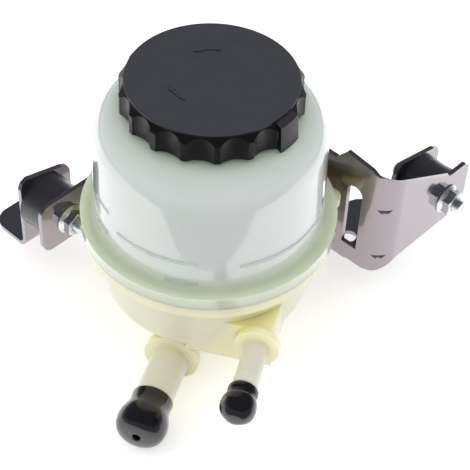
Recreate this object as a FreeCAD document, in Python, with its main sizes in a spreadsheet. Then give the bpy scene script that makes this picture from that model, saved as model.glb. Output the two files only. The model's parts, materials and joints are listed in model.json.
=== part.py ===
"""Power steering reservoir on its rubber-mounted bracket, as a parametric document.

Millimetres, +Z up. The origin is the centre of the sump's underside, on the reservoir's axis.
+X runs along the bracket's wings, and the two hose nozzles point towards -X and -Y.
"""
import FreeCAD, Part
import math
import os

import Sketcher

FULL_TURN = 360.0
HEXAGON_SIDES = 6
ALONG_X = (1, 0, 0)
ALONG_Y = (0, 1, 0)
TO_THE_FRONT = (0, -1, 0)
SMALLEST_CHANGE = 1e-6
NEARLY_ZERO = 1e-9

# Driving dimensions: name, value, what it is
SIZES = [
    ("joint_height", 56.0, "height of the welded joint of the two housings above the underside"),
    ("wall", 2.4, "moulded wall of the reservoir"),
    ("rim_width", 5.2, "how far the upper housing's rim stands out of the clear wall's foot"),
    ("rim_height", 5.5, "height of each housing's rim"),
    ("rim_step", 0.9, "how far the lower rim stands back from the upper rim"),
    ("wall_draft", 1.0, "how much wider the clear wall is at its foot than at its top"),
    ("shoulder_flat", 2.8, "flat ring between the neck and the shoulder's rounding"),
    ("wall_height", 43.5, "height of the clear wall above the joint"),
    ("shoulder_radius", 14.0, "rounding from the wall to the flat round the neck"),
    ("rim_fillet", 2.0, "fillet where the wall meets the rim"),
    ("neck_radius", 28.0, "outside of the filler neck at the root of its thread"),
    ("neck_height", 8.9, "height of the neck above the shoulder"),
    ("neck_wall", 2.5, "wall of the filler neck"),
    ("thread_pitch", 6.0, "rise of the cap's thread for each turn"),
    ("thread_depth", 1.6, "height of the neck's thread ridge"),
    ("thread_width", 2.2, "thread ridge at its root"),
    ("thread_crest", 1.0, "thread ridge at its crest"),
    ("thread_play", 0.5, "radial clearance in the thread"),
    ("thread_turns", 0.85, "turns of thread on the neck and in the cap"),
    ("cap_wall", 4.5, "wall of the cap at the tips of its ridges"),
    ("cap_top_wall", 2.2, "cap's round top"),
    ("cap_height", 11.2, "height of the cap"),
    ("cap_step", 2.2, "how far the cap's flat round top stands back from its ridges' tips"),
    ("cap_bevel", 3.2, "height of the sloped faces that cut the ridges' tops"),
    ("flute_count", 17, "flutes round the cap, between its lobe's two sides"),
    ("flute_depth", 2.0, "depth of the flutes between the ridges"),
    ("flute_radius", 8.5, "rounding of a flute"),
    ("seal_thickness", 1.4, "rubber seal between the neck and the cap"),
    ("seal_width", 3.4, "ring width of the seal"),
    ("bowl_step", 4.6, "how far the bowl under its rim stands back from the upper rim"),
    ("bowl_draft", 4.0, "how much narrower the bowl is where its bottom rounding starts"),
    ("bowl_depth", 36.2, "underside of the bowl below the joint"),
    ("bowl_rounding", 8.0, "rounding of the bowl's bottom edge"),
    ("sump_radius", 24.0, "outside of the sump under the bowl"),
    ("sump_draft", 0.8, "how much narrower the sump is at its underside"),
    ("suction_radius", 7.7, "stem of the suction nozzle, for a 5/8 inch hose"),
    ("suction_bore", 6.2, "bore radius of the suction nozzle"),
    ("suction_height", 11.6, "suction nozzle's axis above the underside"),
    ("suction_azimuth", 207.0, "direction of the suction nozzle, degrees from +X"),
    ("suction_offset", 2.3, "suction nozzle's axis aside of the reservoir's axis"),
    ("suction_collar_in", 3.9, "middle of the suction nozzle's hose stop inside the bowl's outside"),
    ("suction_collar_radius", 11.4, "radius of the suction nozzle's hose stop"),
    ("suction_length", 36.0, "end of the suction nozzle beyond the middle of its hose stop"),
    ("collar_width", 3.4, "thickness of both hose stops"),
    ("collar_slope", 0.8, "small slope between a hose stop and its stem"),
    ("bead_height", 0.2, "height of the hose bead near each nozzle's end"),
    ("bead_length", 3.0, "length of the hose bead"),
    ("return_radius", 4.8, "stem of the return nozzle, for a 3/8 inch hose"),
    ("return_bore", 3.4, "bore radius of the return nozzle"),
    ("return_drop", 22.0, "return nozzle's axis below the joint"),
    ("return_azimuth", 210.0, "direction of the return nozzle, degrees from +X"),
    ("return_offset", 31.0, "return nozzle's axis aside of the reservoir's axis"),
    ("return_collar_beyond", 1.7, "middle of the return nozzle's hose stop beyond the block"),
    ("return_collar_radius", 9.0, "radius of the return nozzle's hose stop"),
    ("return_length", 22.5, "end of the return nozzle beyond the middle of its hose stop"),
    ("block_in", 1.1, "flat front of the return nozzle's block inside the bowl's outside"),
    ("block_side", 36.5, "side of the block beyond the return nozzle"),
    ("block_drop", 15.0, "top of the block below the joint"),
    ("block_depth", 34.8, "underside of the block below the joint"),
    ("plug_play", 0.1, "clearance between a plug and the bead of its nozzle"),
    ("plug_wall", 0.6, "wall of the cover on the suction nozzle"),
    ("plate", 2.0, "thickness of the pressed steel"),
    ("bend_radius", 3.0, "inner radius of the small bends"),
    ("corner_bend", 9.0, "inner radius of the large bend beside the window"),
    ("back_gap", 2.0, "gap between the rim and the bracket's back wall"),
    ("side_gap", 0.5, "gap between the rim and the bracket's side wall"),
    ("front_face", 49.8, "front face of the right wing, from the reservoir's axis"),
    ("bolt_height", 35.5, "axis of both rubber mounts above the underside"),
    ("left_bolt", 28.1, "left rubber mount's axis, from the reservoir's axis"),
    ("right_bolt_beyond", 43.1, "right rubber mount's axis beyond the side wall's inner face"),
    ("stud_radius", 3.0, "M6 studs and screws"),
    ("hole_radius", 3.3, "clearance holes for M6"),
    ("buffer_radius", 12.5, "rubber mount"),
    ("buffer_length", 15.0, "length of a rubber mount"),
    ("buffer_waist", 0.6, "how far a rubber mount is drawn in at its middle"),
    ("disc_thickness", 1.6, "steel disc bonded into each end of a rubber mount"),
    ("disc_rim", 1.5, "rubber round a bonded disc"),
    ("stud_length", 10.5, "length of a stud beyond its rubber mount"),
    ("nut_across", 10.0, "M6 flange nut across its flats"),
    ("nut_flange", 6.75, "radius of the nut's flange"),
    ("nut_height", 5.5, "height of the nut"),
    ("nut_flange_height", 1.4, "thickness of the nut's flange"),
    ("thread_clearance", 0.05, "radial clearance of a nut on its stud"),
    ("foot_height", 12.6, "underside of both feet above the origin"),
    ("foot_length", 21.5, "how far a foot stands behind its plate"),
    ("foot_corner", 8.0, "rounding of a foot's corners"),
    ("screw_drop", 19.0, "reservoir's fixing screws below the joint"),
    ("boss_radius", 6.5, "bosses on the bowl for the fixing screws"),
    ("insert_radius", 4.2, "brass inserts in the bosses"),
    ("insert_length", 8.0, "length of a brass insert"),
    ("screw_length", 10.0, "length of a fixing screw under its head"),
    ("strainer_radius", 27.0, "outside of the strainer's frame"),
    ("strainer_height", 2.4, "height of the strainer's frame"),
    ("strainer_bar", 2.6, "width of the strainer's ring and spokes"),
    ("spoke_count", 6, "spokes of the strainer"),
    ("screen_thickness", 0.5, "strainer's mesh"),
    ("cap_rim", 0.8, "height of the round top above the sloped faces"),
    ("cap_thread_start", 210.0, "where the cap's thread starts, degrees from +X"),
    ("bead_lead", 1.2, "length of the slopes on each side of a hose bead"),
    ("block_back", 16.0, "back of the block and of the return tube, from the reservoir's axis"),
    ("block_middle", 2.0, "side of the block nearest to the reservoir's axis"),
    ("boss_reach", 9.5, "length of the bosses behind the bracket's walls"),
    ("lug_azimuth", 30.0, "direction of the locating lug, degrees from +X towards -Y"),
    ("lug_width", 9.0, "width of the locating lug"),
    ("lug_beyond", 1.6, "how far beyond the rim the round end of the locating lug starts"),
    ("lug_rounding", 4.8, "rounding of the locating lug's end"),
    ("lug_height", 4.0, "height of the locating lug"),
    ("strainer_play", 0.3, "clearance between the strainer and the sump"),
    ("suction_grip", 12.0, "how far the suction nozzle goes into its plug"),
    ("suction_ball", 10.5, "radius of the suction plug's round end"),
    ("suction_ball_back", 2.3, "centre of that round end behind the suction nozzle's end"),
    ("suction_plug_beyond", 7.3, "how far the suction plug reaches beyond the nozzle's end"),
    ("suction_plug_neck", 8.5, "narrowest radius of the suction plug"),
    ("return_grip", 6.0, "how far the return nozzle's stopper goes into its bore"),
    ("return_ball", 7.2, "radius of the return plug's round end"),
    ("return_ball_beyond", 7.7, "centre of that round end beyond the return nozzle's end"),
    ("return_plug_beyond", 14.3, "how far the return plug reaches beyond the nozzle's end"),
    ("return_plug_neck", 5.25, "narrowest radius of the return plug"),
    ("dimple_radius", 1.65, "radius of the dimple in a plug's end"),
    ("dimple_depth", 3.0, "depth of that dimple"),
    ("left_end", 43.0, "left end of the bracket, from the reservoir's axis"),
    ("right_end_beyond", 13.9, "right end of the bracket beyond the right rubber mount's axis"),
    ("side_depth", 38.8, "bottom of the side wall below the joint"),
    ("side_rise", 18.4, "top of the side wall above the joint"),
    ("back_rise", 12.2, "top of the back wall above the joint"),
    ("wing_drop", 6.5, "top of the left wing below the joint"),
    ("wing_depth", 31.5, "bottom of the left wing below the joint"),
    ("wing_corner", 5.0, "rounding of the left wing's corners"),
    ("rise_start", 12.0, "where the left wing starts to rise, from the reservoir's axis"),
    ("rise_end", 14.0, "where the back wall reaches its full height"),
    ("bend_rise", 14.6, "top of the large bend above the joint"),
    ("ear_beyond", 0.7, "where the right wing's sloped top edge ends, beyond that axis"),
    ("ear_drop", 7.6, "top of the right wing's end below the joint"),
    ("ear_corner", 2.6, "cut corner of the right wing's end"),
    ("end_corner", 5.0, "cut corner at the foot of the right wing's end"),
    ("front_depth", 33.5, "bottom of the right wing below the joint"),
    ("side_peak_front", 39.8, "front end of the side wall's highest stretch, towards -Y"),
    ("side_peak_back", 26.6, "back end of the side wall's highest stretch, towards -Y"),
    ("side_slope", 5.4, "length of the slope behind that stretch"),
    ("window_front", 36.8, "front side of the side wall's window, towards -Y"),
    ("window_back", 29.0, "back side of the window, towards -Y"),
    ("window_depth", 30.5, "bottom of the window below the joint"),
    ("window_rise", 0.2, "start of the window's round top above the joint"),
    ("window_rounding", 4.1, "rounding of the window's top"),
    ("front_rise", 16.6, "height of the side wall at the front end of that stretch, above the joint"),
    ("knee", 43.2, "where the side wall's top edge turns down to the bend, towards -Y"),
    ("left_margin", 11.2, "left rear plate beside its rubber mount's axis, on the -X side"),
    ("right_margin", 14.5, "right rear plate beside its rubber mount's axis, on the -X side"),
    ("rear_reach", 15.4, "rear plates beside their rubber mount's axis, on the +X side"),
    ("rear_rise_near", 15.5, "top of a rear plate above its mount's axis, at its -X side"),
    ("rear_rise_far", 10.8, "top of a rear plate above its mount's axis, at its +X side"),
    ("dart_depth", 1.3, "depth of the pressed darts in the large bend"),
    ("dart_radius", 8.0, "rounding of a dart, seen from above"),
    ("dart_wedge", 14.0, "height of a dart's wedge at its axis"),
    ("dart_high", 3.0, "upper dart below the joint"),
    ("dart_low", 29.2, "lower dart below the joint"),
    ("lobe_azimuth", 276.5, "middle of the cap's lobe, degrees from +X"),
    ("lobe_angle", 17.0, "width of the lobe, in degrees round the cap"),
    ("lobe_beyond", 1.4, "how far the lobe's foot stands out of the cap's ridges"),
    ("lobe_drop", 1.8, "how far the lobe reaches below the cap's edge"),
    ("lobe_lean", 0.8, "how far the lobe's outer face leans in towards its top"),
    ("lobe_top", 2.0, "top of the lobe's outer face below the cap's top"),
    ("lobe_wall", 3.5, "thickness of the lobe at its foot"),
    ("stem_gap", 0.7, "end of the suction stem's full width short of the plug's mouth"),
    ("stem_step", 0.25, "how much narrower the stem is beyond that"),
    ("rear_corner", 4.0, "rounding of the rear plates' corners"),
    ("rear_step", 12.0, "rise of the right rear plate's lower edges"),
    ("foot_hole_depth", 7.3, "foot hole's axis behind its upright"),
    ("left_foot_hole", 24.0, "left foot hole's axis, from the reservoir's axis"),
    ("right_foot_gap", 3.0, "left end of the right foot beyond the side wall's inner face"),
    ("right_foot_width", 33.5, "width of the right foot"),
    ("right_foot_hole_in", 10.0, "right foot hole's axis beyond the foot's left end"),
    ("stud_chamfer", 0.5, "chamfer at the end of a stud"),
    ("screw_head", 5.0, "height of a fixing screw's head"),
    ("cut_margin", 6.0, "how far the cutting outlines reach beyond the steel"),
    ("level_relief", 0.5, "how far the level lines stand out of the clear wall"),
    ("level_width", 1.3, "width of a level line"),
]

# Level lines on the clear wall: name, height above the joint, middle and length in degrees round it
LEVEL_LINES = [
    ("LevelFull", 18.6, 197.0, 44.0),
    ("LevelFullBeside", 16.8, 266.0, 54.0),
    ("LevelLow", 8.6, 211.5, 16.0),
    ("LevelTickHigh", 24.4, 161.0, 13.0),
    ("LevelTickLow", 13.6, 161.0, 13.0),
]

doc = FreeCAD.newDocument("PowerSteeringReservoir")
sheet = doc.addObject("Spreadsheet::Sheet", "Sizes")
for row, (name, value, meaning) in enumerate(SIZES, start=1):
    sheet.set(f"A{row}", name)
    sheet.set(f"B{row}", str(value))
    sheet.set(f"C{row}", meaning)
    sheet.setAlias(f"B{row}", name)
doc.recompute()


class Size:
    """A number with the formula that ties it to the sheet, so that features follow the sheet."""

    def __init__(self, value, formula=None):
        self.value = float(value)
        self.formula = formula if formula is not None else repr(float(value))

    def joined(self, other, sign, value):
        return Size(value, f"({self.formula} {sign} {other.formula})")

    def __add__(self, other):
        other = as_size(other)
        return self.joined(other, "+", self.value + other.value)

    def __sub__(self, other):
        other = as_size(other)
        return self.joined(other, "-", self.value - other.value)

    def __mul__(self, other):
        other = as_size(other)
        return self.joined(other, "*", self.value * other.value)

    def __truediv__(self, other):
        other = as_size(other)
        return self.joined(other, "/", self.value / other.value)

    def __radd__(self, other):
        return as_size(other) + self

    def __rsub__(self, other):
        return as_size(other) - self

    def __rmul__(self, other):
        return as_size(other) * self

    def __neg__(self):
        return Size(-self.value, f"(-{self.formula})")


def as_size(number):
    return number if isinstance(number, Size) else Size(number)


def cosine(angle):
    return Size(math.cos(math.radians(angle.value)), f"cos({angle.formula} * 1 deg)")


def sine(angle):
    return Size(math.sin(math.radians(angle.value)), f"sin({angle.formula} * 1 deg)")


def root(size):
    return Size(math.sqrt(size.value), f"sqrt({size.formula})")


class SheetSizes:
    """Reads the sheet: sizes.wall is the wall's Size."""

    def __getattr__(self, name):
        return Size(getattr(sheet, name), f"Sizes.{name}")


sizes = SheetSizes()


# Sketches and features

def tie(thing, prop, size):
    thing.setExpression(prop, size.formula)


def origin_feature(body, role):
    for feature in body.Origin.OriginFeatures:
        if feature.Role == role:
            return feature
    raise RuntimeError(f"{body.Label} has no {role}")


def new_body(label):
    body = doc.addObject("PartDesign::Body", label)
    body.Label = label
    return body


def new_sketch(body, name, role, base=(0, 0, 0), turn=None, turn_axis=(0, 0, 1)):
    """A sketch on one of the body's origin planes, moved by base and turned about turn_axis."""
    sketch = body.newObject("Sketcher::SketchObject", name)
    sketch.AttachmentSupport = [(origin_feature(body, role), "")]
    sketch.MapMode = "FlatFace"
    base = [as_size(number) for number in base]
    angle = as_size(0 if turn is None else turn)
    sketch.AttachmentOffset = FreeCAD.Placement(
        FreeCAD.Vector(*[number.value for number in base]),
        FreeCAD.Rotation(FreeCAD.Vector(*turn_axis), angle.value),
    )
    for letter, number in zip("xyz", base):
        tie(sketch, f"AttachmentOffset.Base.{letter}", number)
    if turn is not None:
        tie(sketch, "AttachmentOffset.Rotation.Angle", angle)
    return sketch


def hold(sketch, geometry, end, point):
    """Fixes one end of a line at a point given as two Sizes from the sketch's origin."""
    for kind, axis, number in (("DistanceX", -2, point[0]), ("DistanceY", -1, point[1])):
        number = as_size(number)
        if number.value == 0:
            sketch.addConstraint(Sketcher.Constraint("PointOnObject", geometry, end, axis))
            continue
        ends = (-1, 1, geometry, end) if number.value > 0 else (geometry, end, -1, 1)
        distance = number if number.value > 0 else -number
        index = sketch.addConstraint(Sketcher.Constraint(kind, *ends, distance.value))
        tie(sketch, f"Constraints[{index}]", distance)


def outline(sketch, points):
    """A closed outline. A point is (x, y) or (x, y, radius, bulge): then an arc leads to the next
    point, on the left of the straight way there where bulge is 1, or on the right where it is -1."""
    count = len(points)
    first = sketch.GeometryCount
    ends = []
    for index, point in enumerate(points):
        following = points[(index + 1) % count]
        a = FreeCAD.Vector(as_size(point[0]).value, as_size(point[1]).value, 0)
        b = FreeCAD.Vector(as_size(following[0]).value, as_size(following[1]).value, 0)
        if len(point) == 2:
            sketch.addGeometry(Part.LineSegment(a, b), False)
            ends.append((1, 2))
            continue
        radius, bulge = as_size(point[2]).value, point[3]
        chord = b - a
        left = FreeCAD.Vector(-chord.y, chord.x, 0).normalize() * bulge
        sagitta = radius - math.sqrt(max(radius**2 - (chord.Length / 2) ** 2, 0))
        sketch.addGeometry(Part.Arc(a, (a + b) * 0.5 + left * sagitta, b), False)
        ends.append((1, 2) if bulge == -1 else (2, 1))
    for index, (begin, end) in enumerate(ends):
        following = (index + 1) % count
        joined = (first + index, end, first + following, ends[following][0])
        sketch.addConstraint(Sketcher.Constraint("Coincident", *joined))
    for index, point in enumerate(points):
        hold(sketch, first + index, ends[index][0], point[:2])
    for index, point in enumerate(points):
        if len(point) > 2:
            radius = as_size(point[2])
            row = sketch.addConstraint(Sketcher.Constraint("Radius", first + index, radius.value))
            tie(sketch, f"Constraints[{row}]", radius)
    return sketch


def circle(sketch, x, y, radius):
    x, y, radius = as_size(x), as_size(y), as_size(radius)
    index = sketch.addGeometry(
        Part.Circle(FreeCAD.Vector(x.value, y.value, 0), FreeCAD.Vector(0, 0, 1), radius.value), False
    )
    hold(sketch, index, 3, (x, y))
    row = sketch.addConstraint(Sketcher.Constraint("Radius", index, radius.value))
    tie(sketch, f"Constraints[{row}]", radius)
    return sketch


def hexagon(sketch, across):
    """A hexagon round the sketch's origin, with two flats along the sketch's x."""
    corner = across / math.sqrt(3)
    turn = 2 * math.pi / HEXAGON_SIDES
    points = [
        (corner * math.cos(turn * k), corner * math.sin(turn * k))
        for k in range(HEXAGON_SIDES)
    ]
    tidy = [(x, y if abs(y.value) > NEARLY_ZERO else Size(0)) for x, y in points]
    return outline(sketch, tidy)


def revolve(body, name, sketch, axis="V_Axis", angle=FULL_TURN, cut=False, midplane=False):
    kind = "PartDesign::Groove" if cut else "PartDesign::Revolution"
    before = volume(body)
    feature = body.newObject(kind, name)
    feature.Profile = sketch
    feature.ReferenceAxis = (sketch, [axis])
    angle = as_size(angle)
    feature.Angle = angle.value
    tie(feature, "Angle", angle)
    feature.Midplane = midplane
    doc.recompute()
    check_change(body, name, before, cut)
    return feature


def pad(body, name, sketch, length, reverse=False, midplane=False):
    before = volume(body)
    feature = body.newObject("PartDesign::Pad", name)
    feature.Profile = sketch
    length = as_size(length)
    feature.Length = length.value
    tie(feature, "Length", length)
    feature.Reversed = reverse
    feature.Midplane = midplane
    doc.recompute()
    check_change(body, name, before, False)
    return feature


def pocket(body, name, sketch, length=None, reverse=False, midplane=False):
    before = volume(body)
    feature = body.newObject("PartDesign::Pocket", name)
    feature.Profile = sketch
    if length is None:
        feature.Type = "ThroughAll"
    else:
        length = as_size(length)
        feature.Length = length.value
        tie(feature, "Length", length)
    feature.Reversed = reverse
    feature.Midplane = midplane
    doc.recompute()
    check_change(body, name, before, True)
    return feature


def helix(body, name, sketch, pitch, turns):
    """A ridge that rises with the thread, fused to the body."""
    before = volume(body)
    feature = body.newObject("PartDesign::AdditiveHelix", name)
    feature.Profile = sketch
    feature.ReferenceAxis = (sketch, ["V_Axis"])
    feature.Mode = 1
    feature.Pitch = pitch.value
    feature.Turns = turns.value
    tie(feature, "Pitch", pitch)
    tie(feature, "Turns", turns)
    feature.LeftHanded = False
    feature.Reversed = False
    doc.recompute()
    check_change(body, name, before, False)
    return feature


def polar_pattern(body, name, original, count, angle=FULL_TURN):
    before = volume(body)
    feature = body.newObject("PartDesign::PolarPattern", name)
    feature.Originals = [original]
    feature.Axis = (origin_feature(body, "Z_Axis"), [""])
    angle = as_size(angle)
    feature.Angle = angle.value
    tie(feature, "Angle", angle)
    count = as_size(count)
    feature.Occurrences = int(count.value)
    tie(feature, "Occurrences", count)
    body.Tip = feature
    doc.recompute()
    if abs(volume(body) - before) < SMALLEST_CHANGE:
        raise RuntimeError(f"{body.Label}: {name} changed nothing")
    return feature


def volume(body):
    doc.recompute()
    return 0.0 if body.Tip is None or body.Shape.isNull() else body.Shape.Volume


def check_change(body, name, before, cut):
    change = volume(body) - before
    if (change > -SMALLEST_CHANGE) if cut else (change < SMALLEST_CHANGE):
        raise RuntimeError(f"{body.Label}: {name} changed the volume by {change:.6f}")


def place(body, base, rotation):
    """Puts a body's own frame at base, turned by rotation."""
    base = [as_size(number) for number in base]
    body.Placement = FreeCAD.Placement(FreeCAD.Vector(*[number.value for number in base]), rotation)
    for letter, number in zip("xyz", base):
        tie(body, f"Placement.Base.{letter}", number)


def place_turned(body, base, azimuth):
    """Puts a body's own frame at base, with its x turned from +X by azimuth."""
    place(body, base, FreeCAD.Rotation(FreeCAD.Vector(0, 0, 1), azimuth.value))
    tie(body, "Placement.Rotation.Angle", azimuth)


def place_pointed(body, base, direction):
    """Puts a body's own frame at base, with its z along direction."""
    place(body, base, FreeCAD.Rotation(FreeCAD.Vector(0, 0, 1), FreeCAD.Vector(*direction)))


# Heights and radii that several pieces share

s = sizes
joint = s.joint_height
wall_top_radius = s.neck_radius + s.shoulder_flat + s.shoulder_radius
wall_base_radius = wall_top_radius + s.wall_draft
rim_radius = wall_base_radius + s.rim_width
bowl_top_radius = rim_radius - s.bowl_step
bowl_low_radius = bowl_top_radius - s.bowl_draft
lug_reach = rim_radius + s.lug_beyond
suction_collar = bowl_low_radius - s.suction_collar_in
suction_reach = suction_collar + s.suction_length
block_reach = bowl_low_radius - s.block_in
return_collar = block_reach + s.return_collar_beyond
return_reach = return_collar + s.return_length
side_face = rim_radius + s.side_gap
back_face = rim_radius + s.back_gap
right_bolt = side_face + s.right_bolt_beyond
right_end = right_bolt + s.right_end_beyond
ear_start = right_bolt + s.ear_beyond
right_foot_start = side_face + s.right_foot_gap
right_foot_end = right_foot_start + s.right_foot_width
right_foot_hole = right_foot_start + s.right_foot_hole_in
shoulder_top = joint + s.wall_height + s.shoulder_radius
neck_top = shoulder_top + s.neck_height
neck_bore = s.neck_radius - s.neck_wall
seal_top = neck_top + s.seal_thickness
cap_top = seal_top + s.cap_top_wall
cap_bottom = cap_top - s.cap_height
cap_bore = s.neck_radius + s.thread_depth + s.thread_play
cap_radius = cap_bore + s.cap_wall
cap_top_radius = cap_radius - s.cap_step
lobe_radius = cap_radius + s.lobe_beyond
rim_top = joint + s.rim_height
rim_bottom = joint - s.rim_height
lower_rim_radius = rim_radius - s.rim_step
bowl_bottom = joint - s.bowl_depth
return_height = joint - s.return_drop
screw_height = joint - s.screw_drop
thread_start = shoulder_top + s.thread_width
suction_mouth = suction_reach - s.suction_grip


def make_reservoir_upper():
    body = new_body("reservoir_upper")
    profile = new_sketch(body, "UpperProfile", "XZ_Plane")
    outer_shoulder = wall_top_radius - s.shoulder_radius
    inner_shoulder = s.shoulder_radius - s.wall
    outline(profile, [
        (rim_radius, joint),
        (rim_radius, rim_top),
        (wall_base_radius + s.rim_fillet, rim_top, s.rim_fillet, 1),
        (wall_base_radius, rim_top + s.rim_fillet),
        (wall_top_radius, joint + s.wall_height, s.shoulder_radius, -1),
        (outer_shoulder, shoulder_top),
        (s.neck_radius, shoulder_top),
        (s.neck_radius, neck_top),
        (neck_bore, neck_top),
        (neck_bore, shoulder_top - s.wall),
        (outer_shoulder, shoulder_top - s.wall, inner_shoulder, 1),
        (wall_top_radius - s.wall, joint + s.wall_height),
        (wall_base_radius - s.wall, rim_top),
        (wall_base_radius - s.wall, joint),
    ])
    revolve(body, "UpperShell", profile)
    lean = (wall_base_radius - wall_top_radius) / (s.wall_height - s.rim_height - s.rim_fillet)
    for name, height, middle, length in LEVEL_LINES:
        surface = wall_top_radius + lean * (s.wall_height - height)
        line = new_sketch(body, f"{name}Profile", "XZ_Plane", (0, 0, 0), middle, ALONG_Y)
        outline(line, [
            (surface - s.wall / 2, joint + height - s.level_width / 2),
            (surface + s.level_relief, joint + height - s.level_width / 2),
            (surface + s.level_relief, joint + height + s.level_width / 2),
            (surface - s.wall / 2, joint + height + s.level_width / 2),
        ])
        revolve(body, name, line, angle=length, midplane=True)
    ridge = new_sketch(body, "NeckThreadProfile", "XZ_Plane")
    inner = s.neck_radius - s.thread_play
    crest = s.neck_radius + s.thread_depth
    outline(ridge, [
        (inner, thread_start - s.thread_width / 2),
        (crest, thread_start - s.thread_crest / 2),
        (crest, thread_start + s.thread_crest / 2),
        (inner, thread_start + s.thread_width / 2),
    ])
    helix(body, "NeckThread", ridge, s.thread_pitch, s.thread_turns)
    return body


def nozzle_base(azimuth, aside, height):
    """The point of a nozzle's axis that is nearest to the reservoir's axis."""
    return (-sine(azimuth) * aside, cosine(azimuth) * aside, height)


suction_base = nozzle_base(s.suction_azimuth, -s.suction_offset, s.suction_height)
return_base = nozzle_base(s.return_azimuth, s.return_offset, return_height)


def nozzle_profile(sketch, start, collar, collar_radius, stem, bead, end, land=None):
    """Half of a hose nozzle, from start to end along the sketch's x, with its hose stop.

    The stem is a little narrower beyond land, where the plug's cover sits."""
    bead_end = end - s.bead_lead
    bead_start = bead_end - s.bead_length
    narrow = []
    if land is not None:
        narrow = [(bead_start - s.bead_lead, stem - s.stem_step), (land, stem - s.stem_step), (land, stem)]
    outline(sketch, [
        (start, 0),
        (end, 0),
        (end, stem - s.bead_lead / 2),
        (bead_end, stem + bead),
        (bead_start, stem + bead),
    ] + (narrow or [(bead_start - s.bead_lead, stem)]) + [
        (collar + s.collar_width / 2 + s.collar_slope, stem),
        (collar + s.collar_width / 2, stem + s.collar_slope),
        (collar + s.collar_width / 2, collar_radius),
        (collar - s.collar_width / 2, collar_radius),
        (collar - s.collar_width / 2, stem + s.wall / 2),
        (start, stem + s.wall / 2),
    ])


def make_reservoir_lower():
    body = new_body("reservoir_lower")
    outer = new_sketch(body, "LowerOutside", "XZ_Plane")
    rounding_start = bowl_bottom + s.bowl_rounding
    rounding_end = bowl_low_radius - s.bowl_rounding
    outline(outer, [
        (0, 0),
        (s.sump_radius - s.sump_draft, 0),
        (s.sump_radius, bowl_bottom),
        (rounding_end, bowl_bottom, s.bowl_rounding, -1),
        (bowl_low_radius, rounding_start),
        (bowl_top_radius, rim_bottom),
        (lower_rim_radius, rim_bottom),
        (lower_rim_radius, joint),
        (0, joint),
    ])
    revolve(body, "BowlOutside", outer)

    block = new_sketch(body, "BlockPlan", "XY_Plane", (0, 0, joint - s.block_depth), s.return_azimuth)
    outline(block, [
        (s.block_back, s.block_middle),
        (block_reach, s.block_middle),
        (block_reach, s.block_side),
        (s.block_back, s.block_side),
    ])
    pad(body, "NozzleBlock", block, s.block_depth - s.block_drop)

    suction = new_sketch(body, "SuctionOutside", "XY_Plane", suction_base, s.suction_azimuth)
    nozzle_profile(suction, 0, suction_collar, s.suction_collar_radius, s.suction_radius,
                   s.bead_height, suction_reach, suction_mouth - s.stem_gap)
    revolve(body, "SuctionNozzle", suction, "H_Axis")
    back = new_sketch(body, "ReturnOutside", "XY_Plane", return_base, s.return_azimuth)
    nozzle_profile(back, s.block_back, return_collar, s.return_collar_radius, s.return_radius,
                   s.bead_height, return_reach)
    revolve(body, "ReturnNozzle", back, "H_Axis")

    side_boss = new_sketch(body, "SideBoss", "YZ_Plane", (0, screw_height, side_face - s.boss_reach))
    circle(side_boss, 0, 0, s.boss_radius)
    pad(body, "SideBossPad", side_boss, s.boss_reach)
    back_boss = new_sketch(body, "BackBoss", "XZ_Plane", (0, screw_height, -back_face))
    circle(back_boss, 0, 0, s.boss_radius)
    pad(body, "BackBossPad", back_boss, s.boss_reach)

    lug = new_sketch(body, "LocatingLug", "XY_Plane", (0, 0, rim_bottom), -s.lug_azimuth)
    outline(lug, [
        (bowl_top_radius, -s.lug_width / 2),
        (lug_reach, -s.lug_width / 2, s.lug_rounding, -1),
        (lug_reach, s.lug_width / 2),
        (bowl_top_radius, s.lug_width / 2),
    ])
    pad(body, "LocatingLugPad", lug, s.lug_height)

    inner = new_sketch(body, "LowerInside", "XZ_Plane")
    inner_rounding = s.bowl_rounding - s.wall
    outline(inner, [
        (0, s.wall),
        (s.sump_radius - s.sump_draft - s.wall, s.wall),
        (s.sump_radius - s.wall, bowl_bottom + s.wall),
        (rounding_end, bowl_bottom + s.wall, inner_rounding, -1),
        (bowl_low_radius - s.wall, rounding_start),
        (bowl_top_radius - s.wall, rim_bottom),
        (bowl_top_radius - s.wall, joint),
        (0, joint),
    ])
    revolve(body, "BowlInside", inner, cut=True)
    suction_bore = new_sketch(body, "SuctionBore", "XY_Plane", suction_base, s.suction_azimuth)
    outline(suction_bore, [
        (0, 0), (suction_reach, 0), (suction_reach, s.suction_bore), (0, s.suction_bore)
    ])
    revolve(body, "SuctionBoreCut", suction_bore, "H_Axis", cut=True)
    return_bore = new_sketch(body, "ReturnBore", "XY_Plane", return_base, s.return_azimuth)
    outline(return_bore, [
        (s.block_back, 0), (return_reach, 0), (return_reach, s.return_bore), (s.block_back, s.return_bore)
    ])
    revolve(body, "ReturnBoreCut", return_bore, "H_Axis", cut=True)
    side_insert = new_sketch(body, "SideInsertHole", "YZ_Plane", (0, screw_height, side_face))
    circle(side_insert, 0, 0, s.insert_radius)
    pocket(body, "SideInsertPocket", side_insert, s.insert_length)
    back_insert = new_sketch(body, "BackInsertHole", "XZ_Plane", (0, screw_height, -back_face))
    circle(back_insert, 0, 0, s.insert_radius)
    pocket(body, "BackInsertPocket", back_insert, s.insert_length, reverse=True)
    return body


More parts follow.
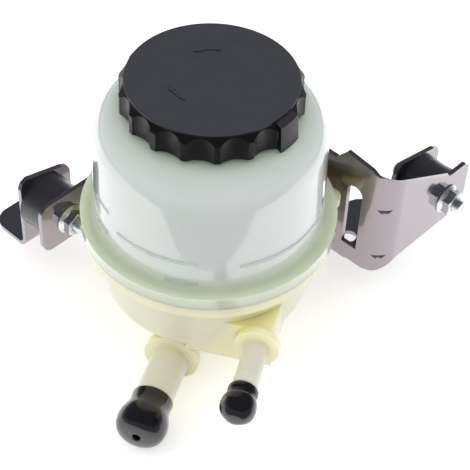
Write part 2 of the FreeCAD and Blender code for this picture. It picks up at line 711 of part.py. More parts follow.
def make_filler_cap():
    body = new_body("filler_cap")
    shell = new_sketch(body, "CapProfile", "XZ_Plane")
    outline(shell, [
        (0, seal_top),
        (cap_bore, seal_top),
        (cap_bore, cap_bottom),
        (cap_radius, cap_bottom),
        (cap_radius, cap_top - s.cap_bevel),
        (cap_top_radius, cap_top - s.cap_rim),
        (cap_top_radius, cap_top),
        (0, cap_top),
    ])
    revolve(body, "CapShell", shell)
    spacing = (FULL_TURN - s.lobe_angle) / s.flute_count
    flute_start = s.lobe_azimuth + s.lobe_angle / 2 + spacing / 2
    flute = new_sketch(body, "FluteCircle", "XY_Plane", (0, 0, cap_top - s.cap_rim), flute_start)
    circle(flute, cap_radius - s.flute_depth + s.flute_radius, 0, s.flute_radius)
    first = pocket(body, "Flute", flute, s.cap_height)
    polar_pattern(body, "Flutes", first, s.flute_count, spacing * (s.flute_count - 1))
    lobe = new_sketch(body, "LobeProfile", "XZ_Plane", (0, 0, 0), s.lobe_azimuth, ALONG_Y)
    outline(lobe, [
        (lobe_radius - s.lobe_wall, cap_bottom - s.lobe_drop / 2),
        (lobe_radius, cap_bottom - s.lobe_drop),
        (lobe_radius - s.lobe_lean, cap_top - s.lobe_top),
        (cap_top_radius, cap_top - s.cap_rim),
        (lobe_radius - s.lobe_wall - s.wall / 2, cap_top - s.cap_rim),
        (lobe_radius - s.lobe_wall - s.wall / 2, cap_bottom),
        (lobe_radius - s.lobe_wall, cap_bottom),
    ])
    revolve(body, "Lobe", lobe, angle=s.lobe_angle, midplane=True)
    ridge = new_sketch(body, "CapThreadProfile", "XZ_Plane", (0, 0, 0), s.cap_thread_start, ALONG_Y)
    start = thread_start + s.thread_pitch * (s.cap_thread_start - FULL_TURN / 2) / FULL_TURN
    crest = cap_bore - s.thread_depth
    outer = cap_bore + s.thread_play
    outline(ridge, [
        (crest, start - s.thread_crest / 2),
        (outer, start - s.thread_width / 2),
        (outer, start + s.thread_width / 2),
        (crest, start + s.thread_crest / 2),
    ])
    helix(body, "CapThread", ridge, s.thread_pitch, s.thread_turns)
    return body


def make_cap_seal():
    body = new_body("cap_seal")
    ring = new_sketch(body, "SealProfile", "XZ_Plane")
    outline(ring, [
        (s.neck_radius - s.seal_width, neck_top),
        (s.neck_radius, neck_top),
        (s.neck_radius, seal_top),
        (s.neck_radius - s.seal_width, seal_top),
    ])
    revolve(body, "SealRing", ring)
    return body


def make_strainer():
    frame = new_body("strainer_frame")
    floor = bowl_bottom + s.wall
    screen_low = floor + s.strainer_height - s.screen_thickness
    spigot_radius = s.sump_radius - s.wall - s.strainer_play
    ring = new_sketch(frame, "RingProfile", "XZ_Plane")
    outline(ring, [
        (spigot_radius - s.strainer_bar, floor - s.strainer_height),
        (spigot_radius, floor - s.strainer_height),
        (spigot_radius, floor),
        (s.strainer_radius, floor),
        (s.strainer_radius, floor + s.strainer_height),
        (s.strainer_radius - s.strainer_bar / 2, floor + s.strainer_height),
        (s.strainer_radius - s.strainer_bar / 2, screen_low),
        (spigot_radius - s.strainer_bar, screen_low),
    ])
    revolve(frame, "Ring", ring)
    spoke = new_sketch(frame, "SpokePlan", "XY_Plane", (0, 0, floor))
    outline(spoke, [
        (0, -s.strainer_bar / 2),
        (spigot_radius - s.strainer_bar / 2, -s.strainer_bar / 2),
        (spigot_radius - s.strainer_bar / 2, s.strainer_bar / 2),
        (0, s.strainer_bar / 2),
    ])
    first = pad(frame, "Spoke", spoke, s.strainer_height - s.screen_thickness)
    polar_pattern(frame, "Spokes", first, s.spoke_count)

    screen = new_body("strainer_screen")
    mesh = new_sketch(screen, "ScreenPlan", "XY_Plane", (0, 0, screen_low))
    circle(mesh, 0, 0, s.strainer_radius - s.strainer_bar / 2)
    pad(screen, "Screen", mesh, s.screen_thickness)
    return [frame, screen]


def ball_end(ball, centre, end, neck, dimple):
    """The round end of a plug, from its neck to its axis, with a dimple in the middle."""
    end_radius = root(ball * ball - (end - centre) * (end - centre))
    return [
        (centre - root(ball * ball - neck * neck), neck, ball, 1),
        (end, end_radius),
        (end, dimple),
        (end - s.dimple_depth, dimple),
        (end - s.dimple_depth, 0),
    ]


def make_suction_plug():
    """A vinyl cover with a round end, pushed on the nozzle until it meets the end."""
    body = new_body("suction_plug")
    bore = s.suction_radius + s.bead_height + s.plug_play
    outside = bore + s.plug_wall
    centre, end = suction_reach - s.suction_ball_back, suction_reach + s.suction_plug_beyond
    round_end = ball_end(s.suction_ball, centre, end, s.suction_plug_neck, s.dimple_radius)
    profile = new_sketch(body, "PlugProfile", "XY_Plane")
    outline(profile, [
        (suction_reach, 0),
        (suction_reach, bore),
        (suction_mouth, bore),
        (suction_mouth, outside),
        (round_end[0][0] - 2 * s.plug_wall, outside),
    ] + round_end)
    revolve(body, "Plug", profile, "H_Axis")
    place_turned(body, suction_base, s.suction_azimuth)
    return body


def make_return_plug():
    """A vinyl stopper with a round end, pushed into the nozzle until its neck meets the end."""
    body = new_body("return_plug")
    spigot = s.return_bore - s.plug_play
    tip = return_reach - s.return_grip
    centre, end = return_reach + s.return_ball_beyond, return_reach + s.return_plug_beyond
    round_end = ball_end(s.return_ball, centre, end, s.return_plug_neck, s.dimple_radius)
    profile = new_sketch(body, "PlugProfile", "XY_Plane")
    outline(profile, [
        (tip, 0),
        (tip, spigot - s.plug_wall),
        (tip + s.plug_wall, spigot),
        (return_reach, spigot),
        (return_reach, s.return_plug_neck),
    ] + round_end)
    revolve(body, "Plug", profile, "H_Axis")
    place_turned(body, return_base, s.return_azimuth)
    return body


def make_plugs():
    return [make_suction_plug(), make_return_plug()]


def make_bracket():
    """One pressed sheet: the left wing and back wall, the side wall, and the right wing."""
    body = new_body("bracket")
    back_in, back_out = back_face, back_face + s.plate
    side_in, side_out = side_face, side_face + s.plate
    front_out, front_in = -s.front_face, s.plate - s.front_face
    small_in, small_out = s.bend_radius, s.bend_radius + s.plate
    large_in, large_out = s.corner_bend, s.corner_bend + s.plate
    low, high = joint - s.side_depth, joint + s.side_rise
    plan = new_sketch(body, "SheetPlan", "XY_Plane", (0, 0, low))
    outline(plan, [
        (-s.left_end, back_in),
        (side_in - small_in, back_in, small_in, 1),
        (side_in, back_in - small_in),
        (side_in, front_out + large_out, large_out, -1),
        (side_in + large_out, front_out),
        (right_end, front_out),
        (right_end, front_in),
        (side_out + large_in, front_in, large_in, 1),
        (side_out, front_in + large_in),
        (side_out, back_out - small_out, small_out, -1),
        (side_out - small_out, back_out),
        (-s.left_end, back_out),
    ])
    pad(body, "FoldedSheet", plan, high - low)

    above, below = high + s.cut_margin, low - s.cut_margin
    wing_top, wing_low = joint - s.wing_drop, joint - s.wing_depth
    inside = side_in - small_in
    far_left = -s.left_end - s.cut_margin
    far_right = right_end + s.cut_margin
    back_top = new_sketch(body, "BackTopEdge", "XZ_Plane")
    outline(back_top, [
        (far_left, above),
        (far_left, wing_top - s.wing_corner),
        (-s.left_end, wing_top - s.wing_corner, s.wing_corner, 1),
        (s.wing_corner - s.left_end, wing_top),
        (-s.rise_start, wing_top),
        (s.rise_end, joint + s.back_rise),
        (inside, joint + s.back_rise),
        (inside, above),
    ])
    pocket(body, "BackTopCut", back_top, None, midplane=True)
    back_low = new_sketch(body, "BackLowEdge", "XZ_Plane")
    outline(back_low, [
        (far_left, below),
        (far_left, wing_low + s.wing_corner),
        (-s.left_end, wing_low + s.wing_corner, s.wing_corner, -1),
        (s.wing_corner - s.left_end, wing_low),
        (-s.rise_start, wing_low),
        (inside, low),
        (inside, below),
    ])
    pocket(body, "BackLowCut", back_low, None, midplane=True)
    front_top = new_sketch(body, "FrontTopEdge", "XZ_Plane")
    ear_top = joint - s.ear_drop
    outline(front_top, [
        (side_out, above),
        (side_out, joint + s.bend_rise),
        (ear_start, ear_top),
        (right_end - s.ear_corner, ear_top),
        (right_end, ear_top - s.ear_corner),
        (far_right, ear_top - s.ear_corner),
        (far_right, above),
    ])
    pocket(body, "FrontTopCut", front_top, None, midplane=True)
    front_low = new_sketch(body, "FrontLowEdge", "XZ_Plane")
    front_bottom = joint - s.front_depth
    outline(front_low, [
        (side_out, below),
        (side_out, low),
        (side_out + large_in, front_bottom),
        (right_end - s.end_corner, front_bottom),
        (right_end, front_bottom + s.end_corner),
        (far_right, front_bottom + s.end_corner),
        (far_right, below),
    ])
    pocket(body, "FrontLowCut", front_low, None, midplane=True)
    side_top = new_sketch(body, "SideTopEdge", "YZ_Plane")
    outline(side_top, [
        (front_out - s.cut_margin, above),
        (front_out - s.cut_margin, joint + s.bend_rise),
        (-s.knee, joint + s.bend_rise),
        (-s.side_peak_front, joint + s.front_rise),
        (-s.side_peak_back, high),
        (s.side_slope - s.side_peak_back, joint + s.back_rise),
        (back_out + s.cut_margin, joint + s.back_rise),
        (back_out + s.cut_margin, above),
    ])
    pocket(body, "SideTopCut", side_top, None, midplane=True)
    bend_centre = (side_in + large_out, front_out + large_out)
    towards = math.sqrt(0.5)
    offset = large_out + s.dart_radius - s.dart_depth
    for name, height in (("UpperDart", joint - s.dart_high), ("LowerDart", joint - s.dart_low)):
        dart = new_sketch(body, f"{name}Profile", "XZ_Plane",
                          (bend_centre[0] - offset * towards, height, offset * towards - bend_centre[1]))
        outline(dart, [(0, 0), (s.dart_radius, 0), (0, -s.dart_wedge)])
        revolve(body, name, dart, cut=True)
    window = new_sketch(body, "Window", "YZ_Plane")
    outline(window, [
        (-s.window_front, joint - s.window_depth),
        (-s.window_back, joint - s.window_depth),
        (-s.window_back, joint + s.window_rise, s.window_rounding, -1),
        (-s.window_front, joint + s.window_rise),
    ])
    pocket(body, "WindowCut", window, None, midplane=True)
    holes = new_sketch(body, "StudHoles", "XZ_Plane")
    circle(holes, -s.left_bolt, s.bolt_height, s.hole_radius)
    circle(holes, right_bolt, s.bolt_height, s.hole_radius)
    circle(holes, 0, screw_height, s.hole_radius)
    pocket(body, "StudHolesCut", holes, None, midplane=True)
    side_hole = new_sketch(body, "SideScrewHole", "YZ_Plane")
    circle(side_hole, 0, screw_height, s.hole_radius)
    pocket(body, "SideScrewHoleCut", side_hole, None, midplane=True)
    return body


def make_rear_plate(label, front, left, right, top):
    """An upright behind a rubber mount, folded back at its base into a foot with a bolt hole."""
    body = new_body(label)
    low = s.foot_height
    outer = s.bend_radius + s.plate
    section = new_sketch(body, "FoldSection", "YZ_Plane", (0, 0, left))
    outline(section, [
        (front, top),
        (front, low + outer, outer, -1),
        (front + outer, low),
        (front + s.plate + s.foot_length, low),
        (front + s.plate + s.foot_length, low + s.plate),
        (front + outer, low + s.plate, s.bend_radius, 1),
        (front + s.plate, low + outer),
        (front + s.plate, top),
    ])
    pad(body, "FoldedStrip", section, right - left)
    return body


def make_left_rear_plate():
    front = back_face + s.plate + s.buffer_length
    left, right = -s.left_bolt - s.left_margin, -s.left_bolt + s.rear_reach
    body = make_rear_plate("left_rear_plate", front, left, right, s.bolt_height + s.rear_rise_near)
    edge = new_sketch(body, "UprightTopEdge", "XZ_Plane")
    outline(edge, rear_plate_top(left, left, right))
    pocket(body, "UprightTopCut", edge, None, midplane=True)
    round_foot(body, front, left, right)
    drill_rear_plate(body, -s.left_bolt)
    drill_foot(body, -s.left_foot_hole, front + s.plate + s.foot_hole_depth)
    return body


def rear_plate_top(start, left, right):
    """What is cut off above a rear plate's sloped and rounded top, from x = start on."""
    near, far = s.bolt_height + s.rear_rise_near, s.bolt_height + s.rear_rise_far
    points = [
        (start - s.cut_margin, near - s.rear_corner),
        (left, near - s.rear_corner),
        (left + s.rear_corner / 3, near - s.rear_corner / 3),
        (left + s.rear_corner, near),
        (right - s.rear_corner, far),
        (right - s.rear_corner / 3, far - s.rear_corner / 3),
        (right, far - s.rear_corner),
        (right + s.cut_margin, far - s.rear_corner),
        (right + s.cut_margin, near + s.cut_margin),
        (start - s.cut_margin, near + s.cut_margin),
    ]
    return points


def round_foot(body, front, left, right):
    """Rounds the two free corners of a foot."""
    end = front + s.plate + s.foot_length
    far, beyond, behind = left - s.cut_margin, right + s.cut_margin, end + s.cut_margin
    corners = new_sketch(body, "FootCorners", "XY_Plane")
    outline(corners, [
        (far, end - s.foot_corner),
        (left, end - s.foot_corner, s.foot_corner, 1),
        (left + s.foot_corner, end),
        (right - s.foot_corner, end, s.foot_corner, 1),
        (right, end - s.foot_corner),
        (beyond, end - s.foot_corner),
        (beyond, behind),
        (far, behind),
    ])
    pocket(body, "FootCornersCut", corners, None, midplane=True)


def drill_rear_plate(body, across):
    hole = new_sketch(body, "StudHole", "XZ_Plane")
    circle(hole, across, s.bolt_height, s.hole_radius)
    pocket(body, "StudHoleCut", hole, None, midplane=True)


def drill_foot(body, across, back):
    hole = new_sketch(body, "FootHole", "XY_Plane")
    circle(hole, across, back, s.hole_radius)
    pocket(body, "FootHoleCut", hole, None, midplane=True)


def make_right_rear_plate():
    front = s.plate - s.front_face + s.buffer_length
    left, right = right_foot_start, right_bolt + s.rear_reach
    top = s.bolt_height + s.rear_rise_near
    upright = right_bolt - s.right_margin
    beyond = right + s.cut_margin
    body = make_rear_plate("right_rear_plate", front, left, right, top)
    shape = new_sketch(body, "UprightEdge", "XZ_Plane")
    step = s.foot_height + s.bend_radius + 2 * s.plate
    top_points = rear_plate_top(left, upright, right)
    outline(shape, [
        (left - s.cut_margin, step),
        (left, step),
        (upright - s.rear_corner, step + s.rear_step),
    ] + top_points[1:])
    pocket(body, "UprightEdgeCut", shape, None, midplane=True)
    end = new_sketch(body, "UprightEnd", "XZ_Plane")
    lower_corner = s.bolt_height - s.buffer_radius / 2
    outline(end, [
        (right, lower_corner),
        (right_foot_end, s.foot_height + s.bend_radius + s.plate),
        (right_foot_end, s.foot_height - s.cut_margin),
        (beyond, s.foot_height - s.cut_margin),
        (beyond, lower_corner),
    ])
    pocket(body, "UprightEndCut", end, None, midplane=True)
    round_foot(body, front, left, right_foot_end)
    drill_rear_plate(body, right_bolt)
    drill_foot(body, right_foot_hole, front + s.plate + s.foot_hole_depth)
    return body


def make_buffer(label, across, front):
    """A rubber mount along its own z, from the bracket's sheet back to the rear plate."""
    body = new_body(label)
    waist = (s.buffer_length * s.buffer_length / 4 + s.buffer_waist * s.buffer_waist) / (2 * s.buffer_waist)
    disc = s.buffer_radius - s.disc_rim
    profile = new_sketch(body, "BufferProfile", "XZ_Plane")
    outline(profile, [
        (0, s.disc_thickness),
        (disc, s.disc_thickness),
        (disc, 0),
        (s.buffer_radius, 0, waist, 1),
        (s.buffer_radius, s.buffer_length),
        (disc, s.buffer_length),
        (disc, s.buffer_length - s.disc_thickness),
        (0, s.buffer_length - s.disc_thickness),
    ])
    revolve(body, "Buffer", profile)
    place_pointed(body, (across, front, s.bolt_height), ALONG_Y)
    return body


def make_stud(label, across, front, direction):
    """A stud with the steel disc that is bonded into the end of a rubber mount."""
    body = new_body(label)
    disc = s.buffer_radius - s.disc_rim
    profile = new_sketch(body, "StudProfile", "XZ_Plane")
    outline(profile, [
        (0, -s.disc_thickness),
        (disc, -s.disc_thickness),
        (disc, 0),
        (s.stud_radius, 0),
        (s.stud_radius, s.stud_length - s.stud_chamfer),
        (s.stud_radius - s.stud_chamfer, s.stud_length),
        (0, s.stud_length),
    ])
    revolve(body, "Stud", profile)
    place_pointed(body, (across, front, s.bolt_height), direction)
    return body


def add_hexagon(body, height):
    """The flange and the hexagon of a flanged nut or screw, from the body's own z = 0 up."""
    hex_plan = new_sketch(body, "HexagonPlan", "XY_Plane")
    hexagon(hex_plan, s.nut_across)
    pad(body, "Hexagon", hex_plan, height)
    flange = new_sketch(body, "FlangeProfile", "XZ_Plane")
    outline(flange, [
        (0, 0),
        (s.nut_flange, 0),
        (s.nut_flange, s.nut_flange_height / 2),
        (s.nut_across / 2, s.nut_flange_height + s.nut_flange_height / 2),
        (0, s.nut_flange_height + s.nut_flange_height / 2),
    ])
    revolve(body, "Flange", flange)


def make_nut(label, across, front, direction):
    body = new_body(label)
    add_hexagon(body, s.nut_height)
    bore = new_sketch(body, "NutBore", "XY_Plane")
    circle(bore, 0, 0, s.stud_radius + s.thread_clearance)
    pocket(body, "NutBoreCut", bore, None, midplane=True)
    place_pointed(body, (across, front, s.bolt_height), direction)
    return body


def make_mount(side, across, front):
    """One rubber mount with its two studs and nuts, between the bracket and its rear plate."""
    rear = front + s.buffer_length
    return [
        make_buffer(f"{side}_rubber_mount", across, front),
        make_stud(f"{side}_front_stud", across, front, TO_THE_FRONT),
        make_stud(f"{side}_rear_stud", across, rear, ALONG_Y),
        make_nut(f"{side}_front_nut", across, front - s.plate, TO_THE_FRONT),
        make_nut(f"{side}_rear_nut", across, rear + s.plate, ALONG_Y),
    ]


def make_insert(label, base, direction):
    """A brass insert along its own z, flush with the face of its boss."""
    body = new_body(label)
    profile = new_sketch(body, "InsertProfile", "XZ_Plane")
    outline(profile, [
        (s.stud_radius + s.thread_clearance, -s.insert_length),
        (s.insert_radius, -s.insert_length),
        (s.insert_radius, 0),
        (s.stud_radius + s.thread_clearance, 0),
    ])
    revolve(body, "Insert", profile)
    place_pointed(body, base, direction)
    return body


def make_screw(label, base, direction):
    """A flanged screw with its head above its own z = 0 and its shank below."""
    body = new_body(label)
    add_hexagon(body, s.screw_head)
    shank = new_sketch(body, "ShankProfile", "XZ_Plane")
    outline(shank, [
        (0, -s.screw_length),
        (s.stud_radius, -s.screw_length),
        (s.stud_radius, 0),
        (0, 0),
    ])
    revolve(body, "Shank", shank)
    place_pointed(body, base, direction)
    return body


def make_fixings():
    """The screws and inserts that hold the reservoir to the bracket's side and back walls."""
    return [
        make_insert("side_insert", (side_face, 0, screw_height), ALONG_X),
        make_screw("side_screw", (side_face + s.plate, 0, screw_height), ALONG_X),
        make_insert("back_insert", (0, back_face, screw_height), ALONG_Y),
        make_screw("back_screw", (0, back_face + s.plate, screw_height), ALONG_Y),
    ]


pieces = [make_reservoir_upper(), make_reservoir_lower(), make_filler_cap(), make_cap_seal()]
pieces += make_strainer()
pieces += make_plugs()
pieces += [make_bracket(), make_left_rear_plate(), make_right_rear_plate()]
pieces += make_mount("left", -s.left_bolt, back_face + s.plate)
pieces += make_mount("right", right_bolt, s.plate - s.front_face)
pieces += make_fixings()

doc.recompute()
for thing in doc.Objects:
    if "Invalid" in thing.State or "Error" in thing.State:
        raise RuntimeError(f"{thing.Label} failed: {thing.State}")
os.makedirs("parts", exist_ok=True)
for piece in pieces:
    shape = piece.Shape
    if shape.isNull() or not shape.isValid() or len(shape.Solids) != 1:
        raise RuntimeError(f"{piece.Label} is not one valid solid")
    shape.exportStep(f"parts/{piece.Label}.step")
    box = shape.BoundBox
    heights = f"z {box.ZMin:.1f} to {box.ZMax:.1f}"
    print(f"{piece.Label}: {shape.Volume:.0f} mm3, {len(shape.Faces)} faces, {heights}")
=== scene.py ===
"""Power steering reservoir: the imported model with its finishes, threads, nuts and moulding details,
on a pale studio floor. Metres, +Z up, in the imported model's frame."""
import json
import math

import bpy
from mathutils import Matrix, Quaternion, Vector


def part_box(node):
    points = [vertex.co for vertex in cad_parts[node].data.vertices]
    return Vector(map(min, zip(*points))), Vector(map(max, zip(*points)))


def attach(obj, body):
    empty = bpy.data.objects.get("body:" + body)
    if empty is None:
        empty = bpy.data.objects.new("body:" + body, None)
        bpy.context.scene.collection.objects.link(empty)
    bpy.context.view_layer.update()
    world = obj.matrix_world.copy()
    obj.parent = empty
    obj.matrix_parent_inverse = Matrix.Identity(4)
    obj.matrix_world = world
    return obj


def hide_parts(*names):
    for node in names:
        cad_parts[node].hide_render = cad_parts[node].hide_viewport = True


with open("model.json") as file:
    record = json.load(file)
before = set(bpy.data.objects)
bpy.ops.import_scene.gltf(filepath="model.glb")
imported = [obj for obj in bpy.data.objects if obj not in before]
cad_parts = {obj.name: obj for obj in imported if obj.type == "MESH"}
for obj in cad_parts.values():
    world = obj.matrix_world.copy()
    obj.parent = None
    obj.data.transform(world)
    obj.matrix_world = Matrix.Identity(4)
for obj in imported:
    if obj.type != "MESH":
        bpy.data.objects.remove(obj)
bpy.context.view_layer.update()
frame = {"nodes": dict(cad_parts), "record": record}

MM = 0.001
FULL_TURN = 2 * math.pi
ALONG_X = Vector((1, 0, 0))
ALONG_Y = Vector((0, 1, 0))
UP = Vector((0, 0, 1))

# The photograph's camera, fitted to the rims, the cap and the bracket's upright edges
CAMERA_PLACE = Vector((-0.2868, -0.2722, 0.4480))
CAMERA_AIM = Vector((-0.0009, -0.0154, 0.056))
CAMERA_ROLL = math.radians(2.67)
CAMERA_LENS_MM = 106.8
CAMERA_SENSOR_MM = 36.0
CAMERA_NEAR = 0.01
CAMERA_FAR = 50.0

# Edges over these angles, in degrees, stay sharp
SHARP_ANGLE = 35
SHARP_ON_TURNED_PIECES = 50
SHARP_ON_HEXAGONS = 24
NEVER_SHARP = 180

# M6 studs, in metres. The thread's ridge is a steep vee with a flat root and crest.
STUD_RADIUS = 3.0 * MM
STUD_DISC = 1.6 * MM
STUD_CHAMFER = 0.7 * MM
THREAD_PITCH = 1.0 * MM
THREAD_DEPTH = 0.55 * MM
THREAD_STEEPNESS = 1.35
THREAD_ROOT = 0.1
THREAD_STEPS = 8
THREAD_SIDES = 32

# M6 flange nuts and screws, in metres
NUT_ACROSS = 10.0 * MM
NUT_FLAT_SHARE = 0.93
NUT_SOFT_EDGE = 0.12 * MM
NUT_FLANGE_EDGE = 0.5 * MM
NUT_FLANGE_RISE = 1.5 * MM
NUT_BORE = 3.05 * MM
NUT_LEAD = 0.45 * MM
NUT_SIDES = 72
HEXAGON_SIDES = 6
CHAMFER_SLOPE = math.tan(math.radians(30))
SCREW_HEAD = 5.0 * MM

# Arrows on the cap, in metres, each with the angles of its tail and tip in degrees from +X
CAP_TOP = 126.0 * MM
ARROW_RADIUS = 16.3 * MM
ARROW_WIDTH = 0.9 * MM
ARROW_HEAD = 3.2 * MM
ARROW_HEAD_WIDTH = 2.6 * MM
ARROW_TIP_WIDTH = 0.1 * MM
ARROW_RELIEF = 0.3 * MM
ARROW_SLOPE = 0.85
ARROW_STEPS = 12
ARROWS = {"cap_arrow_open": (34.0, 70.0), "cap_arrow_close": (188.0, 152.0)}

# The roll of plastic along the weld of the two housings, in metres
JOINT_HEIGHT = 56.0 * MM
WELD_RADIUS = 50.45 * MM
WELD_ROLL = 0.35 * MM
WELD_STEPS = 240
WELD_SIDES = 8

# The nozzles' axes: direction in radians from +X, then in millimetres the distance aside of the
# reservoir's axis and the height above its underside
SUCTION_AXIS = {"azimuth": math.radians(207.0), "aside": -2.3, "height": 11.6}
RETURN_AXIS = {"azimuth": math.radians(210.0), "aside": 31.0, "height": 34.0}

# The plugs' outlines, in millimetres: (distance from the reservoir's axis, radius)
SUCTION_PLUG_INSIDE = [(74.5, 0.3), (74.5, 8.0), (62.8, 8.0)]
SUCTION_PLUG_OUTSIDE = [
    (62.55, 8.2), (62.6, 8.4), (63.0, 8.5), (65.5, 8.45), (67.5, 8.6), (69.5, 9.1),
    (71.7, 9.85), (74.2, 10.3), (76.6, 10.15), (78.7, 9.5), (80.3, 8.1), (81.3, 5.9),
    (81.75, 3.2), (81.7, 1.9), (80.8, 1.5), (79.0, 1.35), (78.8, 0.3),
]
RETURN_PLUG_INSIDE = [(59.5, 0.3), (59.5, 2.7), (60.1, 3.3), (65.5, 3.3), (65.5, 5.3)]
RETURN_PLUG_OUTSIDE = [
    (65.6, 5.7), (66.0, 5.95), (67.4, 5.95), (68.4, 5.55), (69.0, 5.45), (69.9, 5.95),
    (71.4, 6.8), (73.4, 7.15), (75.4, 7.0), (77.3, 6.2), (78.8, 4.7), (79.6, 3.0), (79.8, 0.8),
]
PLUG_SIDES = 96
PLUG_STEPS = 5

# The return plug's round end is slightly uneven: its radius is drawn in by up to this share between
# facets, from the plug's neck on and growing over a short way, both in millimetres
RETURN_PLUG_UNEVEN = 0.03
UNEVEN_FACETS = 5
UNEVEN_START = 69.0
UNEVEN_GROWTH = 3.6

# Places on the clear housing, in millimetres above the underside or from the reservoir's axis
WALL_LOW = 63.6
WALL_HIGH = 99.5
WALL_LOW_RADIUS = 45.8
WALL_HIGH_RADIUS = 44.8
RIM_BAND_LOW = 63.0
RIM_BAND_HIGH = 73.0
DOME_LOW = 101.0
DOME_HIGH = 107.0
UNDER_CAP = 34.0
UNDER_CAP_END = 42.0

# The darker tone of a level line comes in as it stands out of the wall, in millimetres
LINE_FOOT = 0.1
LINE_TOP = 0.3
MASK_EDGE = 0.1

# How far away a face can shut light out of a recess of the cream housing, in millimetres, and the
# shares of open light at which the painted shade in the recess is deepest and at which it ends
PAINTED_SHADE_REACH = 14.0
PAINTED_SHADE_DEEPEST = 0.25
PAINTED_SHADE_END = 0.65

# How far a face of the cap is turned up, from 0 to 1: where the painted light on its top starts and where it
# is full
PAINTED_TOP_LIGHT_START = 0.85
PAINTED_TOP_LIGHT_FULL = 0.97

# A texture's noise keeps mostly within these values, and a wave texture has this many radians a unit
NOISE_LOW = 0.3
NOISE_HIGH = 0.7
WAVE_RADIANS = 20


# Meshes

def new_piece(name, points, faces, sharp_angle=SHARP_ANGLE):
    """A smooth-shaded mesh object, with the edges over sharp_angle degrees left sharp."""
    mesh = bpy.data.meshes.new(name)
    mesh.from_pydata(points, [], faces)
    mesh.update()
    mesh.shade_smooth()
    mesh.set_sharp_from_angle(angle=math.radians(sharp_angle))
    piece = bpy.data.objects.new(name, mesh)
    bpy.context.scene.collection.objects.link(piece)
    return piece


def loft(rings, closed=False):
    """Points and faces of a skin over rings with equal counts. The skin either closes on itself
    or gets a flat cap on each end."""
    count = len(rings[0])
    points = [point for ring in rings for point in ring]
    faces = []
    last = len(rings) if closed else len(rings) - 1
    for row in range(last):
        following = (row + 1) % len(rings)
        for step in range(count):
            beside = (step + 1) % count
            faces.append((row * count + step, row * count + beside,
                          following * count + beside, following * count + step))
    if not closed:
        faces.append(tuple(reversed(range(count))))
        faces.append(tuple((len(rings) - 1) * count + step for step in range(count)))
    return points, faces


def direction(angle):
    """The level direction at an angle, in radians from +X."""
    return Vector((math.cos(angle), math.sin(angle), 0))


def ring_round(place, axis, side, radius_at, height_at, count):
    """Points round an axis, with a radius and a height along the axis for each angle."""
    across = axis.cross(side)
    points = []
    for step in range(count):
        angle = FULL_TURN * step / count
        outward = side * math.cos(angle) + across * math.sin(angle)
        points.append(place + outward * radius_at(angle) + axis * height_at(angle))
    return points


def level(value):
    """The same value at every angle."""
    return lambda angle: value


def thread_ridge(turns):
    """How high a thread stands at a number of turns along it, from 0 in its root to 1 on its crest."""
    share = turns % 1.0
    ridge = 1 - abs(2 * share - 1)
    return min(max(THREAD_STEEPNESS * ridge - THREAD_ROOT, 0.0), 1.0)


def threaded_rings(place, axis, side, start, end):
    """Rings of an M6 thread with a chamfered end, from start to end along the axis."""
    rings = []
    steps = round((end - start) / THREAD_PITCH * THREAD_STEPS)
    for step in range(steps + 1):
        height = start + (end - start) * step / steps
        room = STUD_RADIUS - max(0.0, STUD_CHAMFER - (end - height))

        def radius(angle, height=height, room=room):
            ridge = thread_ridge(height / THREAD_PITCH - angle / FULL_TURN)
            return min(room, STUD_RADIUS - THREAD_DEPTH * (1 - ridge))

        rings.append(ring_round(place, axis, side, radius, level(height), THREAD_SIDES))
    return rings


def node_axis(node, outward):
    """The inner end of a stud, nut or screw whose axis runs along outward, its length, and its
    extent along X, Y and Z."""
    low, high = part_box(node)
    middle = (Vector(low) + Vector(high)) / 2
    reach = Vector(high) - Vector(low)
    length = abs(reach.dot(outward))
    return middle - outward * length / 2, length, reach


def join_to(piece, node, material):
    """Lets a piece ride with a CAD node and take its slot."""
    piece.data.materials.append(material)
    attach(piece, node_bodies[node])


def dress(piece, node, material):
    """Lets a piece stand for a CAD node, whose place and slot it takes."""
    join_to(piece, node, material)
    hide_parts(node)


def make_stud(node, outward):
    """A bonded disc with a threaded M6 stud on it."""
    place, length, reach = node_axis(node, outward)
    disc_radius = reach.z / 2
    rings = [
        ring_round(place, outward, UP, level(disc_radius), level(0.0), THREAD_SIDES),
        ring_round(place, outward, UP, level(disc_radius), level(STUD_DISC), THREAD_SIDES),
        ring_round(place, outward, UP, level(STUD_RADIUS - THREAD_DEPTH), level(STUD_DISC), THREAD_SIDES),
    ]
    rings += threaded_rings(place, outward, UP, STUD_DISC, length)
    piece = new_piece(node + "_threaded", *loft(rings), sharp_angle=SHARP_ON_TURNED_PIECES)
    dress(piece, node, zinc)


def hexagon_radius(angle):
    """Distance from the axis to a hexagon's side at an angle, with flats across side."""
    sector = FULL_TURN / HEXAGON_SIDES
    turned = (angle + sector / 2) % sector - sector / 2
    return NUT_ACROSS / 2 / math.cos(turned)


def hexagon_rings(place, axis, side, height, flange):
    """Rings of a flange and a chamfered hexagon, from the seat's edge up to the flat top's edge."""
    flat = NUT_ACROSS / 2 * NUT_FLAT_SHARE

    def slope(angle):
        inwards = (flange - hexagon_radius(angle)) / (flange - NUT_ACROSS / 2)
        return NUT_FLANGE_EDGE + inwards * NUT_FLANGE_RISE

    def shoulder(angle):
        return height - (hexagon_radius(angle) - flat) * CHAMFER_SLOPE

    return [
        ring_round(place, axis, side, level(flange - NUT_SOFT_EDGE), level(0.0), NUT_SIDES),
        ring_round(place, axis, side, level(flange), level(NUT_SOFT_EDGE), NUT_SIDES),
        ring_round(place, axis, side, level(flange), level(NUT_FLANGE_EDGE), NUT_SIDES),
        ring_round(place, axis, side, hexagon_radius, slope, NUT_SIDES),
        ring_round(place, axis, side, hexagon_radius, shoulder, NUT_SIDES),
        ring_round(place, axis, side, level(flat), level(height), NUT_SIDES),
    ]


